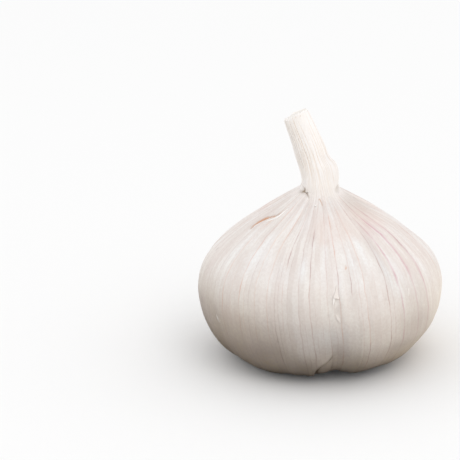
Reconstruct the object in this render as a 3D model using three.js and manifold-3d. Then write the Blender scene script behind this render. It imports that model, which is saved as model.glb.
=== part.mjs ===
// A head of garlic: the lobed and ribbed bulb in its papery skins, the cut stem that stands in its
// neck, and underneath the root plate with its ring of clipped roots.
// Millimetres, +Z up. The origin is the middle of the flat spot that the head rests on, and -Y is its
// front. An azimuth is in degrees, 0 at the front and growing to the right, anticlockwise from above.
import * as THREE from "three";
import { mergeVertices } from "three/addons/utils/BufferGeometryUtils.js";
import Module from "manifold-3d";

const { DEG2RAD, lerp, smoothstep } = THREE.MathUtils;

// ---- Driving dimensions ----

const BULB_WIDTH = 60; // across the widest part of the head
const CLEARANCE = 0.3; // between two pieces that touch

// The outline of the head from the rim of its hollow underside, round the cloves and up to the neck:
// [radius, height] for a head 60 wide.
const OUTLINE_WIDTH = 60.16;
const OUTLINE = [
  [11.0, 3.6],
  [12.8, 1.3],
  [15.6, 0.35],
  [20.3, 0.8],
  [24.4, 3.2],
  [27.5, 7.2],
  [29.5, 12.4],
  [30.08, 19.0],
  [27.95, 24.9],
  [22.5, 30.3],
  [15.75, 35.35],
  [9.5, 39.6],
  [5.1, 42.3],
];
const HOLLOW_Z = 3.6; // the ceiling of the hollow that the root plate sits in
const OUTLINE_ROWS = 30;

// The valleys between the cloves: the azimuth of each at the base, waist and shoulder of the head,
// and its depth there.
const VALLEY_Z = [3, 19, 36];
const VALLEY_REACH = 17; // degrees to either side
const VALLEY_ROUNDING = 2.5; // degrees
const VALLEYS = [
  { azimuth: [9, 8, 12], depth: [2.2, 0.4, 0.1] },
  { azimuth: [40, 39, 49], depth: [0.4, 0.5, 0.8] },
  { azimuth: [78, 80, 84], depth: [0.4, 0.45, 0.5] },
  { azimuth: [113, 110, 112], depth: [1.4, 0.5, 0.6] },
  { azimuth: [150, 147, 144], depth: [1.8, 0.6, 0.7] },
  { azimuth: [187, 190, 186], depth: [1.6, 0.5, 0.5] },
  { azimuth: [224, 226, 230], depth: [1.7, 0.55, 0.7] },
  { azimuth: [263, 260, 262], depth: [1.2, 0.45, 0.5] },
  { azimuth: [302, 300, 297], depth: [0.5, 0.4, 0.3] },
  { azimuth: [339, 339, 340], depth: [0.5, 0.35, 0.6] },
];
// On the right the cloves draw in more towards the roots: where, how far to either side in degrees,
// how deep, and between which heights it runs out.
const UNDERCUT = { azimuth: 66, reach: 55, depth: 1.3, fullZ: 3, endZ: 12 };

// The ribs that run over the skin from the base to the neck, each one crest and one groove.
const RIBS = 60;
const RIB_HEIGHT = [0.06, 0.2]; // crest above groove: the least and the most
const COLUMNS = 2 * RIBS;

// The stem, from the floor of its socket to its cut end: how far its axis is [right, back] of the
// middle of the head at equal steps up, and its radius there. It stands straight in the neck and
// then leans to the left and a little back.
const STEM_FOOT_Z = 40;
const STEM_TOP_Z = 60.3;
const STEM_AXIS = [
  [-0.3, 0.0],
  [-0.35, 0.0],
  [-0.6, 0.1],
  [-1.45, 0.4],
  [-2.4, 0.8],
  [-3.5, 1.3],
  [-4.7, 1.8],
  [-5.9, 2.35],
];
const STEM_RADIUS = [3.7, 3.8, 3.95, 3.85, 3.85, 3.58, 3.4, 3.2];
const STEM_COLUMNS = 44;
const STEM_ROWS = 14;
const STEM_RIB_HEIGHT = 0.16;
// Rings of the cut end, from the edge inwards: [share of the radius, depth below the edge].
const CUT_RINGS = [
  [0.8, 0.0],
  [0.72, 0.45],
  [0.5, 0.35],
  [0.42, 0.75],
];
const CUT_STEP = 0.1; // how far the cut is higher on the right than square across
const CUT_NOTCH = { azimuth: -35, halfWidth: 16, depth: 0.5 };

// The collar of outer skin that wraps the foot of the stem: low on the left, high on the right.
const COLLAR_ROWS = 4;
const COLLAR_LIP = { middle: 46.0, rise: 3.0, highAt: 110, wave: 0.25 };
const COLLAR_WALL = { foot: [0.5, 0.8], lip: 0.45 }; // at the foot: on the left and on the right
const SOCKET_ROWS = 3;

// The root plate, a disc with its flat resting spot underneath: [radius, height] from its middle.
const PLATE_OUTLINE = [
  [6.4, 0],
  [7.3, 0.25],
  [7.9, 0.9],
  [8.0, 1.8],
  [8.0, HOLLOW_Z - CLEARANCE],
];
const PLATE_COLUMNS = 48;

// The clipped roots, in rings round the plate, on one ring that holds them.
const ROOT_RING = { inner: 8.3, outer: 10.2, low: 1.9, high: HOLLOW_Z - CLEARANCE, columns: 48 };
const ROOT_ROWS = [
  { count: 20, start: 8.95, reach: 0.5, drop: 1.75, radius: 0.36 },
  { count: 28, start: 9.6, reach: 1.9, drop: 1.55, radius: 0.34 },
];
const ROOT_SIDES = 5;
const ROOT_STEPS = 3;
const ROOT_SEED = 11;
const RIB_SEED = 5;

// ---- Helpers ----

// A repeatable stream of numbers from 0 to 1.
function seededRandom(seed) {
  let state = seed;
  return () => {
    state = (state * 16807) % 2147483647;
    return state / 2147483647;
  };
}

// The turn from one azimuth to another, from -180 to 180 degrees.
function turnBetween(azimuth, from) {
  return ((azimuth - from + 540) % 360) - 180;
}

// A point at an azimuth in degrees, a radius and a height.
function polar(azimuth, radius, z) {
  const angle = azimuth * DEG2RAD;
  return new THREE.Vector3(radius * Math.sin(angle), -radius * Math.cos(angle), z);
}

// One closed body from rings of equal length that run up its outside, with a pole at either end.
function closedBody(rings, firstPole, lastPole) {
  const columns = rings[0].length;
  const points = [...rings.flat(), firstPole, lastPole];
  const first = rings.length * columns;
  const last = first + 1;
  const top = (rings.length - 1) * columns;
  const faces = [];
  for (let j = 0; j < columns; j++) {
    const next = (j + 1) % columns;
    faces.push(first, next, j);
    for (let i = 0; i < rings.length - 1; i++) {
      const low = i * columns;
      const high = low + columns;
      faces.push(low + j, low + next, high + next);
      faces.push(low + j, high + next, high + j);
    }
    faces.push(last, top + j, top + next);
  }
  const geometry = new THREE.BufferGeometry().setFromPoints(points);
  geometry.setIndex(faces);
  geometry.computeVertexNormals();
  return geometry;
}

function azimuths(columns) {
  return Array.from({ length: columns }, (_, j) => (360 * j) / columns);
}

// ---- Stem ----

const stemSteps = STEM_AXIS.length - 1;
const stemAxis = new THREE.CatmullRomCurve3(
  STEM_AXIS.map(([x, y], i) => new THREE.Vector3(x, y, lerp(STEM_FOOT_Z, STEM_TOP_Z, i / stemSteps))),
  false,
  "catmullrom",
);
const stemThickness = new THREE.SplineCurve(
  STEM_RADIUS.map((r, i) => new THREE.Vector2(r, i)),
);

// The share of the stem's length that lies below a height.
function stemShare(z) {
  return (z - STEM_FOOT_Z) / (STEM_TOP_Z - STEM_FOOT_Z);
}

// A point beside the stem's axis, at a distance from it square to the axis, or raised along it.
function stemPoint(share, azimuth, distance, raised = 0) {
  const along = stemAxis.getTangent(share);
  const right = new THREE.Vector3(1, 0, 0).addScaledVector(along, -along.x).normalize();
  const back = new THREE.Vector3().crossVectors(along, right);
  const angle = azimuth * DEG2RAD;
  return stemAxis
    .getPoint(share)
    .addScaledVector(right, distance * Math.sin(angle))
    .addScaledVector(back, -distance * Math.cos(angle))
    .addScaledVector(along, raised);
}

function stemRadius(share) {
  return stemThickness.getPoint(share).x;
}

// How much the cut end stands above or below a square cut at an azimuth.
function cutHeight(azimuth, share) {
  const off = turnBetween(azimuth, CUT_NOTCH.azimuth);
  const notch = CUT_NOTCH.depth * Math.exp(-((off / CUT_NOTCH.halfWidth) ** 2));
  return share * (CUT_STEP * Math.sin(azimuth * DEG2RAD) - notch);
}

function stemGeometry() {
  const rings = [];
  for (let i = 0; i <= STEM_ROWS; i++) {
    const share = i / STEM_ROWS;
    const above = smoothstep(share, 0.1, 0.3);
    const ring = azimuths(STEM_COLUMNS).map((azimuth, j) => {
      const groove = j % 2 ? STEM_RIB_HEIGHT * above : 0;
      const raised = i === STEM_ROWS ? cutHeight(azimuth, 1) : 0;
      return stemPoint(share, azimuth, stemRadius(share) - groove, raised);
    });
    rings.push(ring);
  }
  for (const [share, depth] of CUT_RINGS) {
    const radius = share * stemRadius(1);
    const ring = azimuths(STEM_COLUMNS).map((azimuth) =>
      stemPoint(1, azimuth, radius, cutHeight(azimuth, share) - depth),
    );
    rings.push(ring);
  }
  const [, coreDepth] = CUT_RINGS.at(-1);
  return closedBody(rings, stemPoint(0, 0, 0), stemPoint(1, 0, 0, -coreDepth));
}

// ---- Bulb ----

// A value given at the base, waist and shoulder of the head, at any height.
function alongHeight([base, waist, shoulder], z) {
  const low = smoothstep(z, VALLEY_Z[0], VALLEY_Z[1]);
  const high = smoothstep(z, VALLEY_Z[1], VALLEY_Z[2]);
  return base + (waist - base) * low + (shoulder - waist) * high;
}

// How deep the valleys between the cloves are below the outline.
function valleyDepth(azimuth, z) {
  let depth = 0;
  for (const valley of VALLEYS) {
    const off = turnBetween(azimuth, alongHeight(valley.azimuth, z));
    const rounded = Math.hypot(off, VALLEY_ROUNDING) - VALLEY_ROUNDING;
    const nearness = Math.max(0, 1 - rounded / VALLEY_REACH);
    depth += alongHeight(valley.depth, z) * nearness ** 2;
  }
  return depth;
}

function undercutDepth(azimuth, z) {
  const off = turnBetween(azimuth, UNDERCUT.azimuth);
  const nearness = Math.max(0, 1 - (off / UNDERCUT.reach) ** 2);
  return UNDERCUT.depth * nearness ** 2 * (1 - smoothstep(z, UNDERCUT.fullZ, UNDERCUT.endZ));
}

const outlineScale = BULB_WIDTH / OUTLINE_WIDTH;
const outline = new THREE.SplineCurve(
  OUTLINE.map(([r, z]) => new THREE.Vector2(r * outlineScale, z)),
);

// The rings of the skin from the rim of the hollow to the neck, with its cloves and ribs.
function skinRings() {
  const random = seededRandom(RIB_SEED);
  const ribHeights = Array.from({ length: RIBS }, () => lerp(...RIB_HEIGHT, random()));
  const rings = [];
  for (let i = 0; i <= OUTLINE_ROWS; i++) {
    const share = i / OUTLINE_ROWS;
    const point = outline.getPoint(share);
    const along = outline.getTangent(share);
    const relief = smoothstep(share, 0, 0.2) * (1 - 0.75 * smoothstep(share, 0.85, 1));
    const ring = azimuths(COLUMNS).map((azimuth, j) => {
      const groove = j % 2 ? ribHeights[(j - 1) / 2] : 0;
      const hollow = valleyDepth(azimuth, point.y) + undercutDepth(azimuth, point.y);
      const depth = relief * (hollow + groove);
      return polar(azimuth, point.x - depth * along.y, point.y + depth * along.x);
    });
    rings.push(ring);
  }
  return rings;
}

function lipShare(azimuth) {
  const { middle, rise, highAt, wave } = COLLAR_LIP;
  const turn = Math.cos((azimuth - highAt) * DEG2RAD);
  const ripple = wave * Math.sin(5 * azimuth * DEG2RAD) + wave * Math.cos(9 * azimuth * DEG2RAD);
  return stemShare(middle + rise * turn + ripple);
}

// The rings of the collar round the stem, up its outside and down the inside of its socket.
function collarRings() {
  const foot = stemShare(OUTLINE.at(-1)[1]);
  const rings = [];
  for (let i = 1; i <= COLLAR_ROWS; i++) {
    const climbed = i / COLLAR_ROWS;
    const ring = azimuths(COLUMNS).map((azimuth) => {
      const share = lerp(foot, lipShare(azimuth), climbed);
      const toRight = 0.5 + 0.5 * Math.sin(azimuth * DEG2RAD);
      const wall = lerp(lerp(...COLLAR_WALL.foot, toRight), COLLAR_WALL.lip, climbed);
      return stemPoint(share, azimuth, stemRadius(share) + CLEARANCE + wall);
    });
    rings.push(ring);
  }
  for (let i = 0; i <= SOCKET_ROWS; i++) {
    const ring = azimuths(COLUMNS).map((azimuth) => {
      const share = lerp(lipShare(azimuth), 0, i / SOCKET_ROWS);
      const lowered = i === SOCKET_ROWS ? -CLEARANCE : 0;
      return stemPoint(share, azimuth, stemRadius(share) + CLEARANCE, lowered);
    });
    rings.push(ring);
  }
  return rings;
}

function bulbGeometry() {
  const rings = [...skinRings(), ...collarRings()];
  const ceiling = new THREE.Vector3(0, 0, HOLLOW_Z);
  return closedBody(rings, ceiling, stemPoint(0, 0, 0, -CLEARANCE));
}

// ---- Root plate and roots ----

function plateGeometry() {
  const rings = PLATE_OUTLINE.map(([radius, z]) =>
    azimuths(PLATE_COLUMNS).map((azimuth) => polar(azimuth, radius, z)),
  );
  const top = PLATE_OUTLINE.at(-1)[1];
  return closedBody(rings, new THREE.Vector3(0, 0, 0), new THREE.Vector3(0, 0, top));
}

// One clipped root: it drops out of the ring, bends outwards and curls a little to one side.
function rootGeometry(row, azimuth, random) {
  const reach = row.reach * lerp(0.7, 1.1, random());
  const drop = row.drop * lerp(0.8, 1, random());
  const curl = lerp(-1, 1, random());
  const route = new THREE.CatmullRomCurve3([
    polar(azimuth, row.start, ROOT_RING.low + 0.6),
    polar(azimuth + 2 * curl, row.start + 0.2 * reach, ROOT_RING.low + 0.6 - 0.5 * drop),
    polar(azimuth + 7 * curl, row.start + reach, ROOT_RING.low + 0.6 - drop),
  ]);
  const frames = route.computeFrenetFrames(ROOT_STEPS, false);
  const rings = [];
  for (let i = 0; i <= ROOT_STEPS; i++) {
    const share = i / ROOT_STEPS;
    const radius = row.radius * lerp(1.1, 0.75, share);
    const ring = azimuths(ROOT_SIDES).map((turn) => {
      const angle = turn * DEG2RAD;
      return route
        .getPoint(share)
        .addScaledVector(frames.normals[i], radius * Math.cos(angle))
        .addScaledVector(frames.binormals[i], radius * Math.sin(angle));
    });
    rings.push(ring);
  }
  return closedBody(rings, route.getPoint(0), route.getPoint(1));
}

function ringGeometry() {
  const { inner, outer, low, high, columns } = ROOT_RING;
  const section = [
    new THREE.Vector2(inner, low),
    new THREE.Vector2(outer - 0.4, low),
    new THREE.Vector2(outer, low + 0.5),
    new THREE.Vector2(outer, high),
    new THREE.Vector2(inner, high),
    new THREE.Vector2(inner, low),
  ];
  return new THREE.LatheGeometry(section, columns).rotateX(Math.PI / 2);
}

const wasm = await Module();
wasm.setup();

function solidOf(geometry) {
  const bare = geometry.clone();
  bare.deleteAttribute("normal");
  bare.deleteAttribute("uv");
  const merged = mergeVertices(bare, 1e-4);
  const mesh = new wasm.Mesh({
    numProp: 3,
    vertProperties: merged.attributes.position.array,
    triVerts: new Uint32Array(merged.index.array),
  });
  return new wasm.Manifold(mesh);
}

function fringeGeometry() {
  const random = seededRandom(ROOT_SEED);
  let fringe = solidOf(ringGeometry());
  for (const row of ROOT_ROWS) {
    for (let k = 0; k < row.count; k++) {
      const azimuth = (360 * (k + 0.5 * random())) / row.count;
      fringe = fringe.add(solidOf(rootGeometry(row, azimuth, random)));
    }
  }
  const mesh = fringe.getMesh();
  const geometry = new THREE.BufferGeometry();
  geometry.setAttribute("position", new THREE.BufferAttribute(mesh.vertProperties, 3));
  geometry.setIndex(new THREE.BufferAttribute(mesh.triVerts, 1));
  geometry.computeVertexNormals();
  return geometry;
}

// ---- Assembly ----

function piece(name, geometry, color, roughness) {
  const material = new THREE.MeshStandardMaterial({ color, roughness, metalness: 0 });
  const mesh = new THREE.Mesh(geometry, material);
  mesh.name = name;
  return mesh;
}

const garlic = new THREE.Group();
garlic.add(piece("bulb", bulbGeometry(), 0xe6dcd7, 0.55));
garlic.add(piece("stem", stemGeometry(), 0xf1e8dc, 0.65));
garlic.add(piece("root_plate", plateGeometry(), 0xcdb892, 0.8));
garlic.add(piece("root_fringe", fringeGeometry(), 0x9c7145, 0.85));

export default garlic;
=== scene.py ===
import bpy
import numpy as np
from mathutils import Matrix, Vector


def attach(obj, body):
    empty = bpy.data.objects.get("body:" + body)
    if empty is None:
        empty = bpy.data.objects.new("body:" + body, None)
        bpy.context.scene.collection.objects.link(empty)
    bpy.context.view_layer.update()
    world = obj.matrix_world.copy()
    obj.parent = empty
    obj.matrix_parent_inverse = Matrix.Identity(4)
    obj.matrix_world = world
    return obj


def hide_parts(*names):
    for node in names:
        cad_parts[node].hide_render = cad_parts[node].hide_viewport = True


# A head of garlic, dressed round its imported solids: the veined papery skin, the torn edge and the
# loose flakes of it, the dry stem, and underneath the root plate with its clipped roots.
# Shapes are worked out in millimetres and turned into metres as each mesh is made. +Z is up, -Y is
# the front. An azimuth is in degrees, 0 at the front and growing to the right.
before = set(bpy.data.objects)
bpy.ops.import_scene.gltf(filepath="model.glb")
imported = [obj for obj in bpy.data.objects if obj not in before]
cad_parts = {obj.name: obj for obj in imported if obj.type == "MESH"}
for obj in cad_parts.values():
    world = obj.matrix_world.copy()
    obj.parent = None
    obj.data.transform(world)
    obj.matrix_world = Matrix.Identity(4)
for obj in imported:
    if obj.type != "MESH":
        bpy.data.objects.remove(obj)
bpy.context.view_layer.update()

MM = 0.001

# ---- The form of the solids, with the numbers of the part's source ----

BULB_WIDTH = 60.0
CLEARANCE = 0.3
OUTLINE_WIDTH = 60.16
OUTLINE = [
    (11, 3.6), (12.8, 1.3), (15.6, 0.35), (20.3, 0.8), (24.4, 3.2), (27.5, 7.2), (29.5, 12.4),
    (30.08, 19), (27.95, 24.9), (22.5, 30.3), (15.75, 35.35), (9.5, 39.6), (5.1, 42.3),
]
OUTLINE_SAMPLES = 3001
HOLLOW_Z = 3.6
VALLEY_Z = (3.0, 19.0, 36.0)
VALLEY_REACH = 17.0
VALLEY_ROUNDING = 2.5
VALLEYS = [  # azimuth and depth at the base, waist and shoulder
    ((9, 8, 12), (2.2, 0.4, 0.1)), ((40, 39, 49), (0.4, 0.5, 0.8)), ((78, 80, 84), (0.4, 0.45, 0.5)),
    ((113, 110, 112), (1.4, 0.5, 0.6)), ((150, 147, 144), (1.8, 0.6, 0.7)),
    ((187, 190, 186), (1.6, 0.5, 0.5)), ((224, 226, 230), (1.7, 0.55, 0.7)),
    ((263, 260, 262), (1.2, 0.45, 0.5)), ((302, 300, 297), (0.5, 0.4, 0.3)),
    ((339, 339, 340), (0.5, 0.35, 0.6)),
]
UNDERCUT_AZIMUTH, UNDERCUT_REACH, UNDERCUT_DEPTH = 66.0, 55.0, 1.3
UNDERCUT_FULL_Z, UNDERCUT_END_Z = 3.0, 12.0
MEAN_RIB = 0.065  # half the mean height of the ribs on the solid
SHOULDER_DROP = 0.7  # how much lower the skin lies on the right of the neck
DROP_FROM, DROP_FULL = 33.0, 41.0  # heights between which that comes about

STEM_FOOT_Z, STEM_TOP_Z = 40.0, 60.3
STEM_AXIS = [
    (-0.3, 0), (-0.35, 0), (-0.6, 0.1), (-1.45, 0.4), (-2.4, 0.8), (-3.5, 1.3), (-4.7, 1.8),
    (-5.9, 2.35),
]
STEM_RADIUS = [3.7, 3.8, 3.95, 3.85, 3.85, 3.58, 3.4, 3.2]
CUT_STEP = 0.1
CUT_NOTCH_AZIMUTH, CUT_NOTCH_HALF_WIDTH, CUT_NOTCH_DEPTH = -35.0, 16.0, 0.5

PLATE_OUTLINE = [(6.4, 0.0), (7.3, 0.25), (7.9, 0.9), (8.0, 1.8), (8.0, 3.3)]

# ---- Veins of the skin ----

# How the lines of the skin leave the azimuth that they have at the waist, by height: a share of
# the sine of that azimuth, and a plain turn.
SWAY_Z = [5, 10, 16, 20, 25, 27, 30, 34, 38, 42]
SWAY = [-2.1, -2.1, -2.1, -2.0, 0.0, 2.0, 4.5, 6.5, 2.5, 0.0]
TURN_Z = [5, 10, 16, 20, 25, 34, 38, 42]
TURN = [3.5, 2.8, 1.5, 0.7, 0.0, 0.0, 1.0, 1.5]

# The veins of the front: azimuth at the waist, strength near the base, at the waist and on the
# shoulder, and tint from 0, tan, to 1, purple.
VEIN_Z = (9.0, 22.0, 33.0)
FRONT_VEINS = [
    (-76, (0.2, 0.2, 0.25), 0.6), (-70, (0.25, 0.3, 0.35), 0.6), (-65.5, (0.15, 0.2, 0.15), 0.6),
    (-62.3, (0.3, 0.4, 0.3), 0.6), (-54.2, (0.45, 0.6, 0.5), 0.1), (-48, (0.2, 0.2, 0.15), 0.1),
    (-42.3, (0.3, 0.5, 0.85), 0.2), (-39.5, (0.3, 0.25, 0), 0.05), (-33.4, (0.25, 0.35, 0.45), 0.05),
    (-26.7, (0.2, 0.4, 0.55), 0.15), (-22.8, (0.5, 0.4, 0.05), 0.6), (-18.8, (0.1, 0.35, 0.4), 0.35),
    (-10.6, (0.6, 0.25, 0.4), 0.55), (-5.2, (0.6, 0.55, 0.5), 0.45), (0, (0.2, 0.2, 0.15), 0.4),
    (3.4, (0.4, 0.3, 0.5), 0.38), (9.3, (0.5, 0.5, 0.7), 0.2), (15.8, (0, 0.3, 0.35), 0.3),
    (19.5, (0.25, 0.3, 0.2), 0.4), (22.6, (0.5, 0.4, 0.5), 0.25), (28.5, (0.2, 0.15, 0.15), 0.3),
    (34.8, (0.6, 0.55, 0.6), 0.5), (37.5, (0.3, 0.3, 0.2), 0.5), (42.7, (0.4, 0.55, 0.75), 1),
    (47, (0.15, 0.2, 0.15), 0.85), (51.6, (0.3, 0.5, 0.75), 1), (60, (0.35, 0.55, 0.8), 1),
    (65, (0.15, 0.2, 0.2), 0.9), (70, (0.3, 0.4, 0.4), 0.75), (76, (0.25, 0.3, 0.3), 0.7),
]
# Passages where a line turns dark: its azimuth at the waist, the heights between, strength and tint.
DARK_PASSAGES = [
    (-18.8, 30.6, 35.6, 1, 0.78), (-5.2, 28.5, 36, 1, 0.72), (-5.2, 6, 13, 0.75, 0.5),
    (15.8, 24.6, 28.2, 0.85, 0.72), (-10.6, 32, 34, 0.55, 0.6), (9.3, 24, 31, 0.6, 0.5),
    (34.8, 22, 31, 0.7, 0.6), (-42.3, 33, 36.5, 0.8, 0.4), (22.6, 6, 12, 0.7, 0.55),
    (34.8, 7, 14, 0.8, 0.6), (-22.8, 5, 11, 0.7, 0.55), (60, 29, 33, 0.8, 0.85),
    (130, 24, 33, 0.9, 0.8), (171, 27, 34, 0.9, 0.75), (212, 20, 29, 0.8, 0.6), (246, 28, 35, 0.9, 0.8),
]
SHORT_LINE = (15.8, 24.6)  # a line that begins at a height
# Nicks that show what lies under the skin: azimuth, height, half width, half height and strength.
NICKS = [(15.4, 29.8, 0.2, 0.28, 0.7)]
VEIN_SEED = 7
WOBBLE = 0.26  # degrees that a line strays from its even run
WIDEST_GAP = 3.5  # degrees between two lines
FINE_FLANK, STRONG_FLANK = 0.26, 0.50  # degrees from the middle of a line to its edge
SOFT_LINES, SOFT_FLANK = (42.7, 51.6, 60.0), 0.85  # the lines that are broad and soft

SKIN_ROWS, NECK_ROWS = 112, 28  # rows of the skin, and close ones where the neck begins
NECK_LENGTH = 6.0
CEILING_ROWS = 4
COLLAR_ROWS = 22
NARROW_GAP = 3.2  # degrees between two lines that one column is enough for
MOST_FLANK = 0.24  # the most of a gap that the edge of a line may take up
SOCKET_ROWS = 4
SOCKET_GAP = 0.14
CEILING_REACH = (7.4, 10.6)  # radii of the ceiling of the hollow underneath
CEILING_LIFT = 0.05
# How often the bend at the neck is softened, and over how many rows below and above it.
EASING_PASSES, EASED_BELOW, EASED_ABOVE = 70, 26.0, 13.0
RELIEF_SEED = 19
SLOW_WAVES, FINE_WRINKLES = 10, 26
# Pleats near the neck and underneath: how many go round, and their height.
NECK_PLEATS = ((17, 0.045), (29, 0.035), (43, 0.025), (61, 0.02))
ROOT_PLEATS = ((23, 0.10), (37, 0.09), (59, 0.06))
GRAIN_SIZE = 8.0
SKIN_GRAIN, STEM_GRAIN = 0.03, 0.5  # how fast the grain runs on along the skin and up the stem

# Patches of the front where the skin lies smooth, painted paler and cooler as its sheen: azimuth,
# height, half width in degrees, half height and strength.
SHEEN_PATCHES = [
    (4, 15, 12, 2.8, 0.5), (9.5, 26.6, 1.6, 2.6, 0.6), (-35, 30.5, 3.5, 2.8, 0.5),
    (4, 33.8, 1.4, 2.8, 0.8), (-43, 30.1, 4, 3, 0.9), (-62, 30.2, 4.5, 3, 0.6),
    (-41, 33.6, 3, 1.8, 0.5), (-10, 29.6, 2.4, 2.2, 0.9), (2, 29.5, 1.6, 3.5, 0.5),
    (10.5, 33.8, 1.5, 1.6, 0.7), (12, 28, 1.8, 3, 0.4), (29, 32.4, 2.6, 2.4, 0.9),
    (20, 30.7, 2.2, 2.6, 0.8), (39, 29, 1.8, 4, 0.7), (47, 27.5, 1.8, 3.5, 0.6),
    (56, 32.9, 2.4, 2.2, 0.7), (65, 27.1, 2.6, 3.6, 0.7), (75, 31.5, 3, 3, 0.6),
    (-26, 27.5, 2.5, 3, 0.4),
]

# Painted shade over valleys, lower edges and round the flakes, and small specks of the skin:
# azimuth, height, half width, half height (mm) and how dark.
SHADES = [
    (-34, 10, 6.5, 4, 0.22), (-23, 10.5, 4.5, 2.8, 0.26), (53, 21.5, 4.5, 4.5, 0.16),
    (50, 15, 5.5, 4.5, 0.27), (43, 8.5, 3, 2.5, 0.15), (7, 4.2, 0.5, 2, 0.3), (-24, 15, 4.5, 3, 0.1),
    (62, 12, 6.5, 4.5, 0.3), (-13, 31, 1.2, 3, 0.05), (46, 36, 1.6, 1.6, 0.09),
    (38.4, 33.4, 1.6, 2.4, 0.12), (37.8, 30.6, 1.6, 2.4, 0.08), (38.4, 27.6, 1.8, 2.6, 0.12),
    (39, 23.4, 2.4, 3.2, 0.07), (-13.5, 22.6, 2.8, 3, 0.11), (16.5, 24.4, 1.7, 3, 0.12),
    (18, 29.4, 1.3, 2.2, 0.08), (-21, 29.6, 1.6, 2.4, 0.07), (9.4, 22.6, 0.6, 1.5, 0.26),
    (9.6, 19.4, 0.5, 1.4, 0.22), (8, 21.4, 0.7, 0.8, 0.2), (-82.5, 27.7, 0.35, 0.4, 0.5),
    (4, 20.3, 0.26, 0.3, 0.3), (27.5, 23.6, 0.5, 0.3, 0.12), (32.8, 22.7, 0.35, 0.3, 0.2),
    (22.2, 30.8, 0.3, 0.35, 0.2), (-20, 13, 0.3, 0.3, 0.3), (96, 24, 0.35, 0.4, 0.4),
    (148, 31, 0.3, 0.4, 0.4), (201, 17, 0.4, 0.4, 0.35), (238, 26, 0.3, 0.3, 0.4),
    (171, 12, 0.5, 0.3, 0.3),
]

# Pink patches of the sides and back: azimuth, half width, lower edge and strength.
SHOULDER_PATCHES = [
    (112, 14, 33.5, 0.7), (158, 17, 34.5, 0.6), (208, 15, 33, 0.8), (250, 12, 35, 0.5),
]

# The grooves of the stem that show most: azimuth, depth, half width in degrees, tint from 0, tan,
# to 1, grey-brown, and the shares of the stem between which each runs.
STEM_GROOVES = [
    (-80, 0.01, 1.8, 0.3, 0.3, 1.05), (-68, 0.01, 1.6, 0.3, 0.35, 1.1), (-62, 0.12, 1.5, 0.9, 0.4, 1.1),
    (-47, 0.1, 1.6, 0.6, 0.3, 0.95), (-39, 0.09, 1.4, 0.3, 0.25, 1.1), (-33, 0.06, 1.2, 0.2, 0, 0.7),
    (-27, 0.07, 1.3, 0.1, 0.1, 1), (-20, 0.12, 1.6, 0.05, 0.1, 1.1), (-14, 0.08, 1.2, 0.1, -0.1, 0.6),
    (-8, 0.08, 1.3, 0.15, -0.05, 0.85), (-3, 0.07, 1.1, 0.2, -0.1, 0.45), (1, 0.07, 1.2, 0, 0.1, 1),
    (5, 0.08, 1.1, 0.1, -0.1, 0.5), (10, 0.07, 1.3, 0.1, -0.05, 0.7), (14, 0.07, 1.1, 0.2, -0.1, 0.4),
    (19, 0.08, 1.3, 0.1, 0.05, 0.8), (26, 0.07, 1.2, 0, -0.1, 0.5), (31, 0.07, 1.4, 0, -0.1, 0.9),
    (37, 0.06, 1.2, 0.1, -0.05, 0.7), (43, 0.06, 1.4, 0.1, 0.2, 1), (54, 0.05, 1.4, 0, 0, 0.8),
]
STEM_SEED = 31


def all_stem_grooves():
    """The grooves of the front and random ones for the rest."""
    draw = np.random.default_rng(STEM_SEED).uniform
    grooves = list(STEM_GROOVES)
    for centre in np.arange(63, 276, 8.5):
        limits = ((-2.5, 2.5), (0.04, 0.2), (1.5, 2.8), (0, 0.9), (0, 0.4), (0.75, 1.15))
        turned, *groove = (draw(low, high) for low, high in limits)
        grooves.append((centre + turned, *groove))
    return grooves


stem_grooves = all_stem_grooves()


def ease(value, start, end):
    """0 at start and 1 at end, smooth between. It falls where start lies above end."""
    share = np.clip((np.asarray(value, float) - start) / (end - start), 0.0, 1.0)
    return share * share * (3.0 - 2.0 * share)


def bell(off, wide):
    """1 in the middle, falling away on either side."""
    return np.exp(-((off / wide) ** 2))


def tail(gap, length):
    """1 up to a gap of 0, and then running out."""
    return np.exp(-np.maximum(gap, 0.0) / length)


def lerp(start, end, share):
    return start + (end - start) * share


def window(value, low, high, soft):
    """1 between low and high, falling to 0 over soft on either side."""
    return ease(value, low - soft, low + soft) * ease(value, high + soft, high - soft)


def turn_between(azimuth, start):
    return (azimuth - start + 540.0) % 360.0 - 180.0


def sector(azimuth, centre, half, soft):
    """1 up to half as wide on either side of an azimuth, falling to 0 over soft."""
    return window(turn_between(azimuth, centre), -half, half, soft)


def beside(azimuth, centre, wide):
    """1 at an azimuth, falling away on either side."""
    return bell(turn_between(azimuth, centre), wide)


def spots(azimuth, z, radius, table):
    """Soft spots on the skin, added up: azimuth, height, half width, half height and strength."""
    total = np.zeros(z.shape)
    for centre, height, wide, tall, strength in table:
        off = np.radians(turn_between(azimuth, centre)) * radius
        total += strength * bell(off, wide) * bell(z - height, tall)
    return total


def polar(azimuth, radius, z):
    angle = np.radians(azimuth)
    x = radius * np.sin(angle)
    return np.stack([x, -radius * np.cos(angle), z + 0.0 * x], axis=-1)


def spline(points, share, runs_on=False):
    """Points on a curve through the given ones, at shares of its steps."""
    points = np.asarray(points, float)
    steps = len(points) - 1
    place = np.clip(np.asarray(share, float), 0.0, 1.0) * steps
    index = np.minimum(place.astype(int), steps - 1)
    weight = (place - index)[..., None]
    before = 2 * points[0] - points[1] if runs_on else points[0]
    after = 2 * points[-1] - points[-2] if runs_on else points[-1]
    padded = np.vstack([before, points, after])
    p0, p1, p2, p3 = (padded[index + k] for k in range(4))
    v0, v1 = (p2 - p0) / 2, (p3 - p1) / 2
    curve = (2 * p1 - 2 * p2 + v0 + v1) * weight + (-3 * p1 + 3 * p2 - 2 * v0 - v1)
    return curve * weight**2 + v0 * weight + p1


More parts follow.
